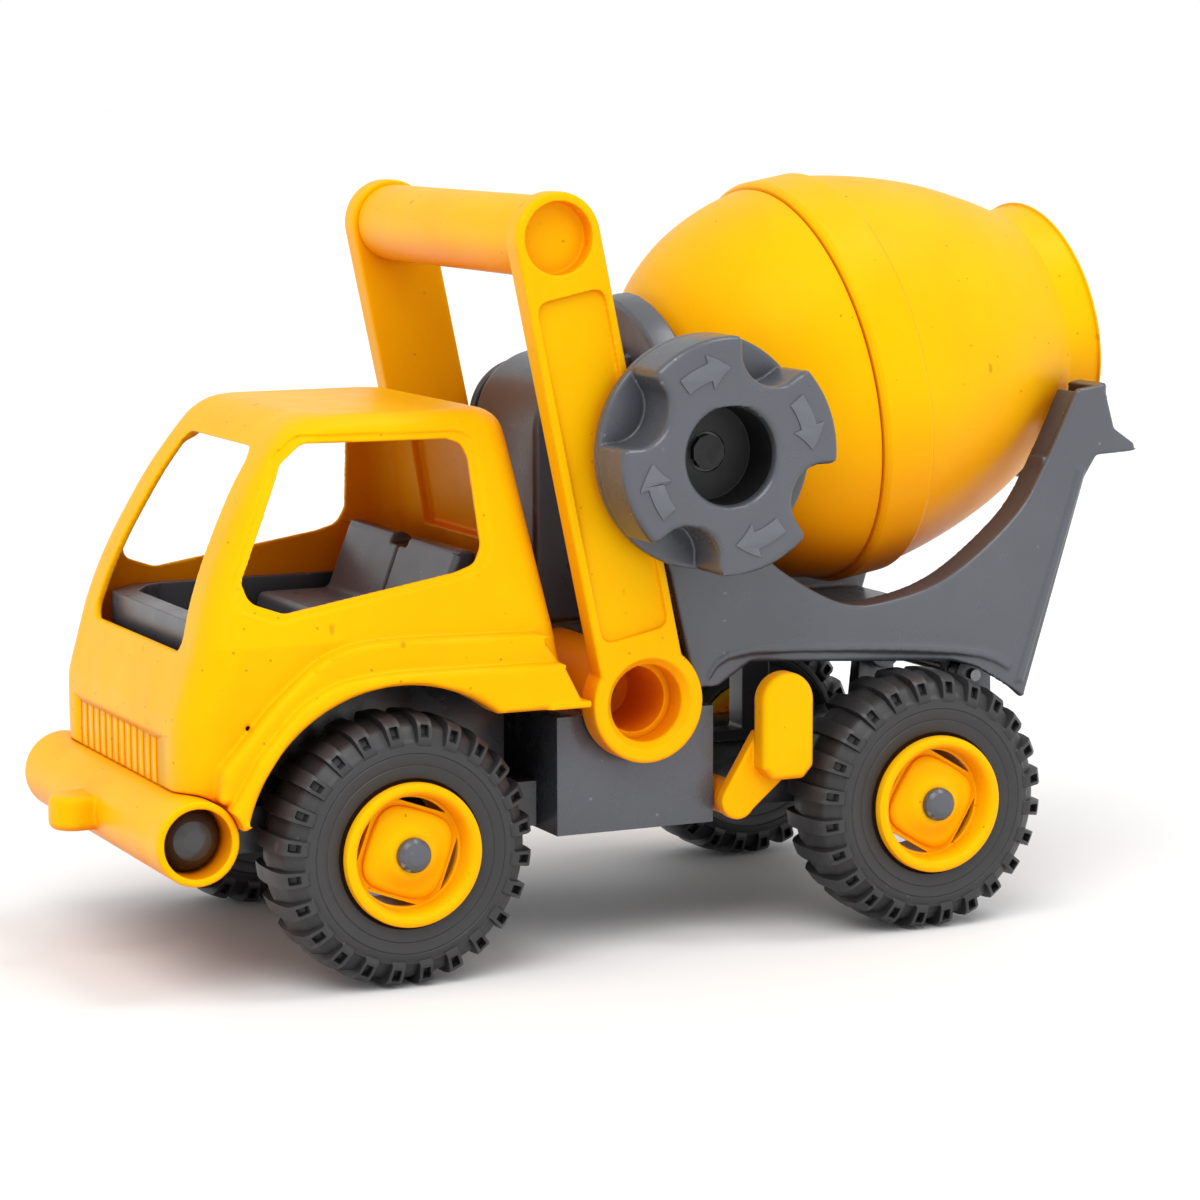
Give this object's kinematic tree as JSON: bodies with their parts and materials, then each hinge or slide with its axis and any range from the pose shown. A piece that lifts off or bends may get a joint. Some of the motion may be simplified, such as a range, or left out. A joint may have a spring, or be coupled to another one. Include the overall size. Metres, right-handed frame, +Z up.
{
  "type": "toy cement mixer truck",
  "caption": "Yellow and gray toy mixer truck: hand-cranked tilting drum, tipping cradle, carrying handle, open cab and rolling wheels.",
  "frame": {"origin": "centre of the bottom of the whole truck's box, on the floor under the wheels", "axes": "+X towards the rear, so the truck drives towards -X; +Y towards the truck's right side; +Z up"},
  "size_m": [0.3616, 0.1812, 0.2421],
  "materials": {
    "yellow_plastic": "satin moulded bio-plastic with fine dark flecks",
    "gray_plastic": "satin moulded plastic with sparse pale flecks",
    "tyre_plastic": "satin moulded plastic, finely grained",
    "steel": "plain drawn steel"
  },
  "bodies": {
    "chassis": {"cab_shell": "yellow_plastic", "front_bumper": "yellow_plastic", "handle_arm_left": "yellow_plastic", "handle_arm_right": "yellow_plastic", "handle_grip_tube": "yellow_plastic", "handle_cross_tube": "yellow_plastic", "chassis_frame": "gray_plastic", "cab_tub": "gray_plastic", "bench_seat": "gray_plastic", "headlamp_left": "gray_plastic", "headlamp_right": "gray_plastic", "axle_cap_front_left": "gray_plastic", "axle_cap_front_right": "gray_plastic", "axle_cap_rear_left": "gray_plastic", "axle_cap_rear_right": "gray_plastic", "cab_screw_1": "steel", "cab_screw_2": "steel", "cab_screw_3": "steel", "cab_screw_4": "steel", "front_axle": "steel", "rear_axle": "steel", "hinge_pin": "steel", "handle_screw_left": "steel", "handle_screw_right": "steel"},
    "cradle": {"cradle_frame": "gray_plastic", "gear_housing": "gray_plastic", "shaft_bush": "gray_plastic"},
    "drum": {"drum_front_shell": "yellow_plastic", "drum_rear_shell": "yellow_plastic", "crown_gear": "gray_plastic", "drum_stub_pin": "steel"},
    "crank": {"crank_knob": "gray_plastic", "crank_shaft": "steel", "pinion_gear": "gray_plastic", "knob_screw": "steel"},
    "tip_lever": {"tip_lever": "yellow_plastic", "lever_shaft": "steel", "lift_arm": "gray_plastic"},
    "wheel_front_left": {"rim_front_left": "yellow_plastic", "tyre_front_left": "tyre_plastic"},
    "wheel_front_right": {"rim_front_right": "yellow_plastic", "tyre_front_right": "tyre_plastic"},
    "wheel_rear_left": {"rim_rear_left": "yellow_plastic", "tyre_rear_left": "tyre_plastic"},
    "wheel_rear_right": {"rim_rear_right": "yellow_plastic", "tyre_rear_right": "tyre_plastic"}
  },
  "joints": [
    {"name": "cradle_tip", "type": "hinge", "parent": "chassis", "child": "cradle", "pos_m": [0.12948, 0.0072, 0.075], "axis": [0, 1, 0], "range_deg": [0, 18]},
    {"name": "lever_turn", "type": "hinge", "parent": "chassis", "child": "tip_lever", "pos_m": [0.02598, 0.0072, 0.046], "axis": [0, -1, 0], "range_deg": [0, 30.1]},
    {"name": "drum_spin", "type": "hinge", "parent": "cradle", "child": "drum", "pos_m": [0.00718, 0.0072, 0.1598], "axis": [0.9845, 0, 0.1754], "continuous": true},
    {"name": "crank_turn", "type": "hinge", "parent": "cradle", "child": "crank", "pos_m": [0.00718, 0.0072, 0.1598], "axis": [0, 1, 0], "continuous": true},
    {"name": "wheel_front_left_spin", "type": "hinge", "parent": "chassis", "child": "wheel_front_left", "pos_m": [-0.09152, -0.0568, 0.042], "axis": [0, 1, 0], "continuous": true},
    {"name": "wheel_front_right_spin", "type": "hinge", "parent": "chassis", "child": "wheel_front_right", "pos_m": [-0.09152, 0.0712, 0.042], "axis": [0, 1, 0], "continuous": true},
    {"name": "wheel_rear_left_spin", "type": "hinge", "parent": "chassis", "child": "wheel_rear_left", "pos_m": [0.09068, -0.0568, 0.042], "axis": [0, 1, 0], "continuous": true},
    {"name": "wheel_rear_right_spin", "type": "hinge", "parent": "chassis", "child": "wheel_rear_right", "pos_m": [0.09068, 0.0712, 0.042], "axis": [0, 1, 0], "continuous": true}
  ],
  "couplings": [
    {"joint": "lever_turn", "follows": "cradle_tip", "ratio": 1.6667},
    {"joint": "crank_turn", "follows": "drum_spin", "ratio": -3}
  ]
}
